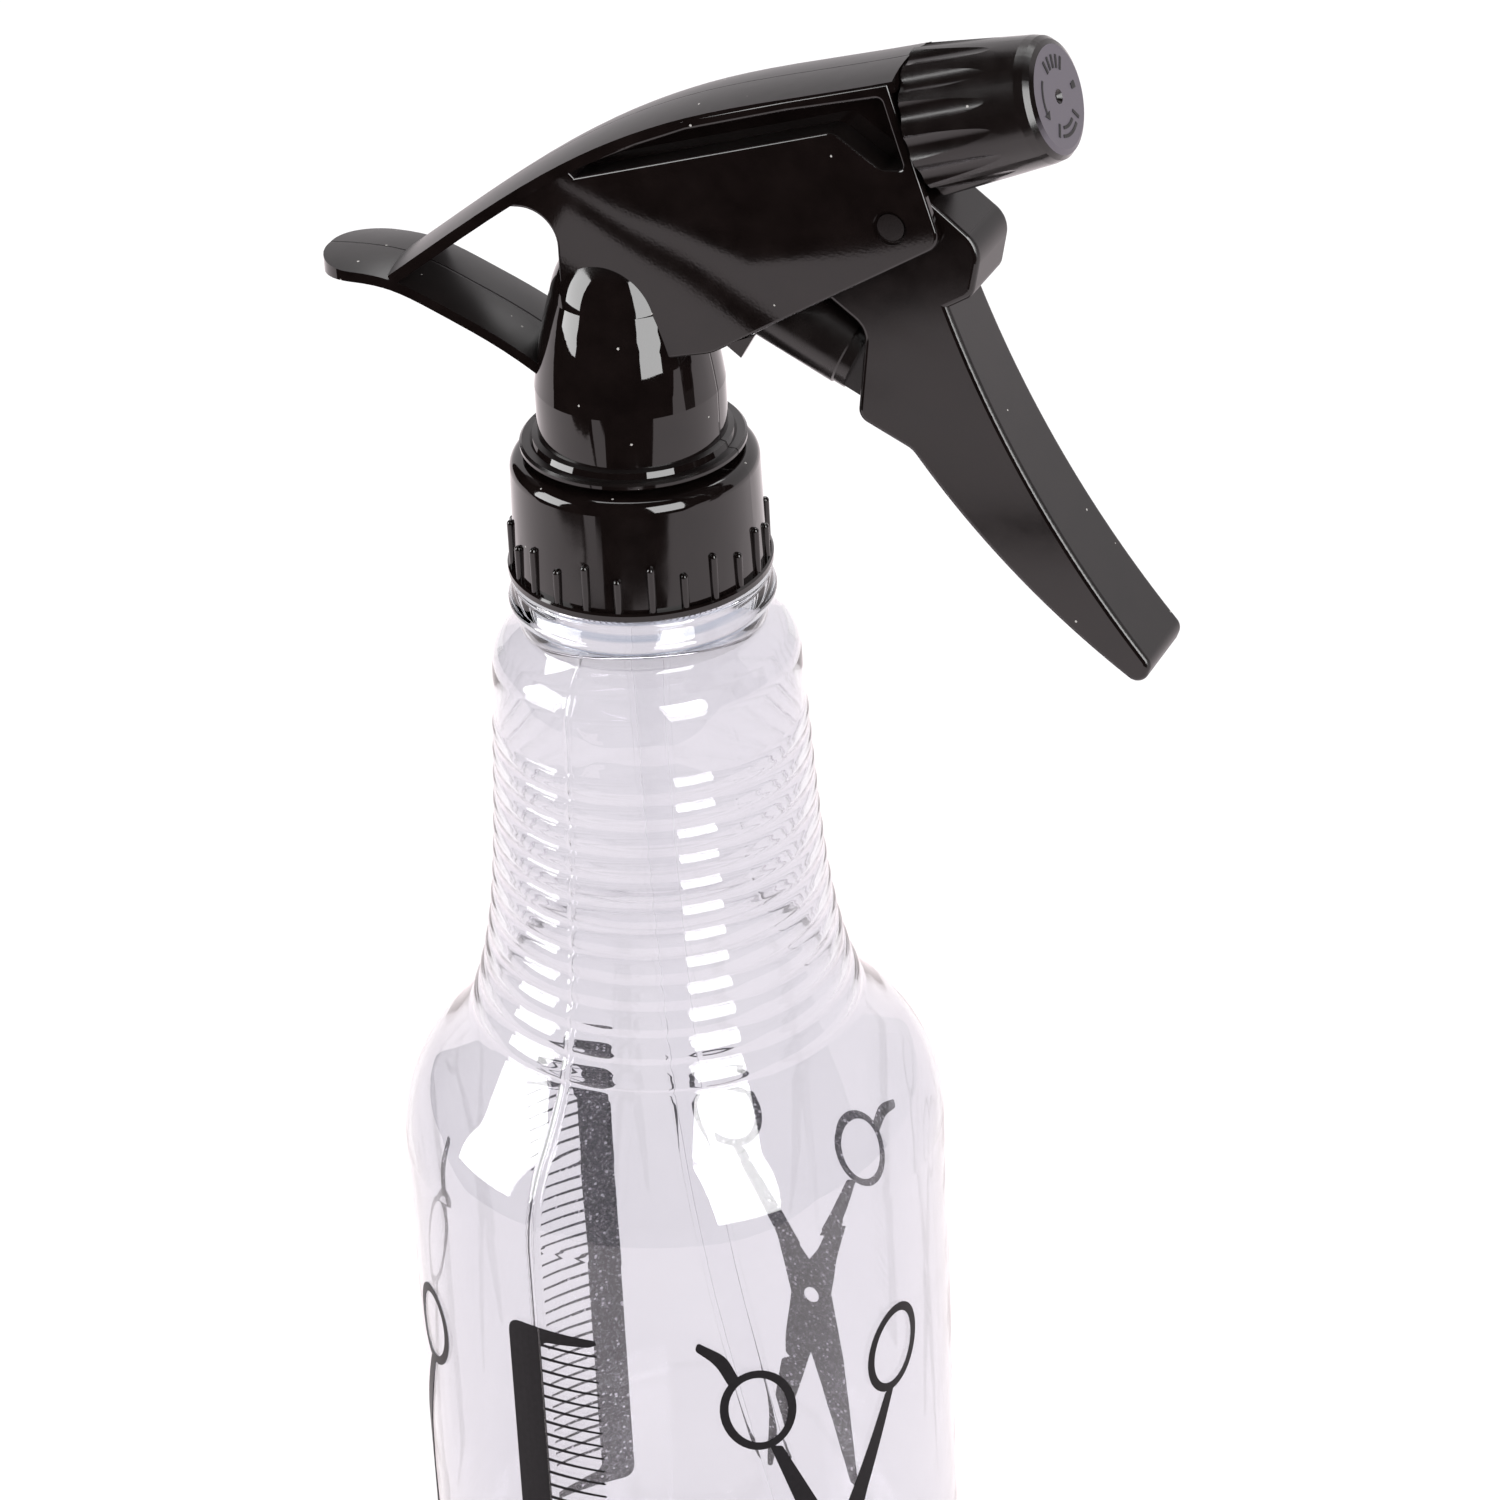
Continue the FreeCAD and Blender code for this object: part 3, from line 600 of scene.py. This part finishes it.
def print_tools():
    mats = ink_materials()
    for number, angle in enumerate(COMB_ANGLES):
        print_on_bottle(f"printed_comb_{number + 1}", comb_shapes(), angle, COMB_TOP, mats)
    for number, angle in enumerate(SCISSORS_ANGLES):
        print_on_bottle(f"printed_scissors_{number + 1}", scissors_shapes(), angle, SCISSORS_PIVOT, mats)


# ---------------------------------------------------------------- marks on the nozzle's face
MARK_R = 4.1              # middle of the ring of marks


def arc_band(radius, half, start, end, count):
    """Outline of a bent strip between two angles."""
    outer, inner = [], []
    for i in range(count + 1):
        t = math.radians(start + (end - start) * i / count)
        outer.append(((radius + half) * math.cos(t), (radius + half) * math.sin(t)))
        inner.append(((radius - half) * math.cos(t), (radius - half) * math.sin(t)))
    return outer + inner[::-1]


def spoke(angle, near, far, half):
    """Outline of a straight strip that points away from the middle."""
    t = math.radians(angle)
    direction = Vector((math.cos(t), math.sin(t)))
    side = Vector((-direction.y, direction.x)) * half
    a, b = direction * near, direction * far
    return [tuple(a - side), tuple(b - side), tuple(b + side), tuple(a + side)]


def arrow_head(base_angle, tip_angle):
    """Outline of the triangle that ends the arrow's arc."""
    base, tip = math.radians(base_angle), math.radians(tip_angle)
    corners = [(MARK_R, tip), (MARK_R + 0.7, base), (MARK_R - 0.7, base)]
    return [(r * math.cos(t), r * math.sin(t)) for r, t in corners]


def nozzle_marks(mat):
    """Raised pictograms in place of lettering: a bent arrow, a fan of spray, a bracket and a dot."""
    along = Vector((math.cos(NOZZLE_TILT), 0, math.sin(NOZZLE_TILT)))
    up = Vector((-math.sin(NOZZLE_TILT), 0, math.cos(NOZZLE_TILT)))
    right = up.cross(along)
    middle = Vector((NOZZLE_FACE[0], 0, NOZZLE_FACE[1]))
    shapes = [arc_band(MARK_R, 0.16, 132, 188, 12), arrow_head(186, 199)]
    shapes += [spoke(angle, 3.3, 4.9, 0.2) for angle in (48, 62, 76, 90, 104, 232, 308)]
    shapes += [arc_band(4.6, 0.2, 244, 296, 8), arc_band(3.6, 0.2, 248, 292, 6)]
    shapes += [arc_band(MARK_R, 0.5, -9, 2, 2)]
    whole = bmesh.new()
    for shape in shapes:
        levels = []
        for lift in (0.01, 0.07):
            start = middle + along * lift
            levels.append([whole.verts.new((start + right * u + up * v) * MM) for u, v in shape])
        whole.faces.new(levels[1])
        whole.faces.new(levels[0][::-1])
        count = len(shape)
        for i in range(count):
            j = (i + 1) % count
            whole.faces.new([levels[0][i], levels[0][j], levels[1][j], levels[1][i]])
    bmesh.ops.recalc_face_normals(whole, faces=whole.faces[:])
    mesh = bpy.data.meshes.new("nozzle_marks")
    whole.to_mesh(mesh)
    whole.free()
    new_object("nozzle_marks", mesh, "nozzle", [mat])


# ---------------------------------------------------------------- inner materials
def milky_plastic(name, base, transmission, rough, ior=1.5):
    """Unpigmented plastic that lets some light through."""
    mat, tree, shader = material(name)
    where = coordinates(tree)
    cloud = noise(tree, where, 220.0, 3.0)
    lighter = tuple(min(1.0, c * 1.05) for c in base)
    tree.links.new(ramp(tree, cloud, [(0.3, base), (0.8, lighter)]), shader.inputs["Base Color"])
    shader.inputs["Transmission Weight"].default_value = transmission
    finish = ramp(tree, cloud, [(0.3, grey(rough)), (0.8, grey(rough + 0.08))])
    tree.links.new(finish, shader.inputs["Roughness"])
    shader.inputs["IOR"].default_value = ior
    tree.links.new(bump(tree, cloud, 0.1, 0.0001), shader.inputs["Normal"])
    return mat


def metal(name, base, rough, scale):
    """Drawn or polished metal with faint streaks."""
    mat, tree, shader = material(name)
    where = coordinates(tree)
    streaks = noise(tree, where, scale, 3.0)
    lighter = tuple(c * 1.15 for c in base)
    tree.links.new(ramp(tree, streaks, [(0.3, base), (0.8, lighter)]), shader.inputs["Base Color"])
    finish = ramp(tree, streaks, [(0.3, grey(rough)), (0.8, grey(rough + 0.1))])
    tree.links.new(finish, shader.inputs["Roughness"])
    shader.inputs["Metallic"].default_value = 1.0
    tree.links.new(bump(tree, streaks, 0.1, 0.00003), shader.inputs["Normal"])
    return mat


def soft_rubber(name, base, rough, scale):
    """Dull soft material with fine pores."""
    mat, tree, shader = material(name)
    where = coordinates(tree)
    pores = noise(tree, where, scale, 3.0)
    lighter = tuple(c * 1.2 for c in base)
    tree.links.new(ramp(tree, pores, [(0.3, base), (0.8, lighter)]), shader.inputs["Base Color"])
    shader.inputs["Roughness"].default_value = rough
    tree.links.new(bump(tree, pores, 0.3, 0.0001), shader.inputs["Normal"])
    return mat


# ---------------------------------------------------------------- materials on the pieces
BLACK = (0.0024, 0.0016, 0.0015)
clear = clear_plastic()
head_black = black_plastic("head plastic", BLACK, 0.02, 0.34, 0.03,
                           satin_from=(2, 0.55, 0.8), specks=0.09, parting=True)
closure_black = black_plastic("closure plastic", BLACK, 0.05, 0.3, 0.06)
trigger_black = black_plastic("trigger plastic", BLACK, 0.06, 0.42, 0.06, satin_from=(0, 0.5, 0.72))
nozzle_black = black_plastic("nozzle plastic", BLACK, 0.17, 0.45, 0.10,
                             satin_from=(0, 0.86, 0.92), satin_base=(0.055, 0.048, 0.060))
mark_black = black_plastic("mark plastic", (0.003, 0.003, 0.003), 0.5, 0.5, 0.05, specks=0.0)
plunger_black = black_plastic("plunger plastic", BLACK, 0.2, 0.3, 0.08)
natural = milky_plastic("natural PE", (0.86, 0.86, 0.84), 0.25, 0.35)
tube = milky_plastic("tube PE", (0.985, 0.985, 0.99), 1.0, 0.03, 1.02)
foam = soft_rubber("foam washer", (0.72, 0.72, 0.70), 0.8, 1800.0)
rubber = soft_rubber("seal rubber", (0.02, 0.02, 0.02), 0.6, 1500.0)
spring_metal = metal("spring wire", (0.56, 0.56, 0.57), 0.22, 900.0)
ball_metal = metal("ball steel", (0.68, 0.68, 0.70), 0.06, 300.0)

FINISHES = {
    "closure": closure_black,
    "sprayer_body": head_black,
    "plunger": plunger_black,
    "trigger": trigger_black,
    "nozzle_cap": nozzle_black,
    "neck_gasket": foam,
    "tube_retainer": natural,
    "plunger_seal": natural,
    "spinner": natural,
    "dip_tube": tube,
    "inlet_ball": ball_metal,
    "outlet_ball": ball_metal,
    "return_spring": spring_metal,
    "outlet_spring": spring_metal,
    "nozzle_seal": rubber,
    "bottle": clear,
}
for node_name, finish in FINISHES.items():
    data = nodes[node_name].data
    data.materials.clear()
    data.materials.append(finish)

make_bottle(clear)
print_tools()
nozzle_marks(mark_black)


# ---------------------------------------------------------------- floor, studio and camera
def plane(name, corners, mat, camera, glossy):
    """A flat stage piece: camera makes it visible to all but glossy rays, glossy to those."""
    mesh = bpy.data.meshes.new(name)
    mesh.from_pydata(corners, [], [list(range(len(corners)))])
    obj = bpy.data.objects.new(name, mesh)
    scene.collection.objects.link(obj)
    mesh.materials.append(mat)
    obj.visible_camera = camera
    obj.visible_diffuse = camera
    obj.visible_transmission = camera
    obj.visible_glossy = glossy
    obj.visible_shadow = camera


def glowing(name, colour, strength, albedo):
    """A dull surface that also glows."""
    mat, _, shader = material(name)
    shader.inputs["Base Color"].default_value = (albedo, albedo, albedo, 1.0)
    shader.inputs["Roughness"].default_value = 0.9
    shader.inputs["Specular IOR Level"].default_value = 0.0
    shader.inputs["Emission Color"].default_value = colour + (1.0,)
    shader.inputs["Emission Strength"].default_value = strength
    return mat


def lying(name, corners, mat):
    """A card on the floor that only reflections show."""
    plane(name, [(x, y, -0.001) for x, y in corners], mat, False, True)


FLOOR = 6.0
WARM_WHITE = (1.0, 0.91, 0.93)
plane("floor", [(-FLOOR, -FLOOR, 0), (FLOOR, -FLOOR, 0), (FLOOR, FLOOR, 0), (-FLOOR, FLOOR, 0)],
      glowing("pale floor", (1.0, 0.99, 1.0), 0.80, 0.15), True, False)

# The black plastic mirrors a white table up to its front edge, two strips on a dark apron, and a sweep behind.
TABLE_HALF = 2.0
TABLE_BACK = 1.4
SWEEP_HALF = 2.4
SWEEP_TOP = 2.2
TABLE_FRONT = [(-TABLE_HALF, -0.1), (-0.42, -0.18), (-0.38, -0.245), (-0.27, -0.34), (-0.20, -0.385),
               (-0.15, -0.39), (-0.11, -0.38), (0.04, -0.405), (0.13, -0.395), (0.20, -0.37), (0.28, -0.30),
               (0.45, -0.24), (TABLE_HALF, -0.3)]
lying("table_reflection", TABLE_FRONT + [(TABLE_HALF, TABLE_BACK), (-TABLE_HALF, TABLE_BACK)],
      glowing("white table", WARM_WHITE, 1.35, 0.0))
apron = glowing("white apron", WARM_WHITE, 1.2, 0.0)
lying("apron_far", [(-0.25, -0.49), (-0.19, -0.46), (-0.15, -0.49), (-0.10, -0.50), (-0.10, -0.42),
                    (-0.17, -0.435), (-0.245, -0.485)], apron)
lying("apron_near", [(-0.24, -0.475), (-0.175, -0.43), (-0.06, -0.43), (-0.06, -0.405), (-0.12, -0.39),
                     (-0.17, -0.40), (-0.235, -0.455)], apron)
plane("back_reflection", [(-SWEEP_HALF, TABLE_BACK, -0.1), (SWEEP_HALF, TABLE_BACK, -0.1),
                          (SWEEP_HALF, TABLE_BACK, SWEEP_TOP), (-SWEEP_HALF, TABLE_BACK, SWEEP_TOP)],
      glowing("white sweep", (1.0, 0.95, 0.97), 1.0, 0.0), False, True)


def softbox(name, azimuth, elevation, distance, width, height, power):
    """A rectangular light that the object sees at an azimuth from -Y and an elevation, in degrees."""
    light = bpy.data.lights.new(name, "AREA")
    light.shape = "RECTANGLE"
    light.size = width
    light.size_y = height
    light.energy = power
    obj = bpy.data.objects.new(name, light)
    scene.collection.objects.link(obj)
    a, e = math.radians(azimuth), math.radians(elevation)
    target = Vector((0, 0, 0.17))
    direction = Vector((math.sin(a) * math.cos(e), -math.cos(a) * math.cos(e), math.sin(e)))
    obj.location = target + distance * direction
    obj.rotation_euler = (target - obj.location).to_track_quat("-Z", "Y").to_euler()


softbox("left softbox", -60, 18, 1.3, 0.70, 1.0, 22)
softbox("right softbox", 53, 23, 1.3, 0.66, 1.25, 26)
softbox("overhead softbox", 190, 70, 1.8, 1.2, 1.2, 22)

world = bpy.data.worlds.new("studio")
world.use_nodes = True
background = world.node_tree.nodes["Background"]
background.inputs["Color"].default_value = (0.95, 0.95, 0.96, 1.0)
background.inputs["Strength"].default_value = 0.9
world.cycles_visibility.glossy = False
scene.world = world

camera_data = bpy.data.cameras.new("camera")
camera_data.sensor_width = 36.0
camera_data.lens = 143.66
camera = bpy.data.objects.new("camera", camera_data)
scene.collection.objects.link(camera)
CAMERA_PLACE = Vector((0.28855, -0.58675, 0.53861))
CAMERA_AIM = Vector((0.01351, 0.0, 0.16527))
CAMERA_ROLL = math.radians(-2.974)
forward = (CAMERA_AIM - CAMERA_PLACE).normalized()
level = forward.cross(Vector((0, 0, 1))).normalized()
upward = level.cross(forward)
side = level * math.cos(CAMERA_ROLL) + upward * math.sin(CAMERA_ROLL)
top = side.cross(forward)
camera.matrix_world = Matrix((
    (side.x, top.x, -forward.x, CAMERA_PLACE.x),
    (side.y, top.y, -forward.y, CAMERA_PLACE.y),
    (side.z, top.z, -forward.z, CAMERA_PLACE.z),
    (0, 0, 0, 1)))
camera_data.clip_end = 50.0
scene.camera = camera
scene.view_settings.view_transform = "Standard"
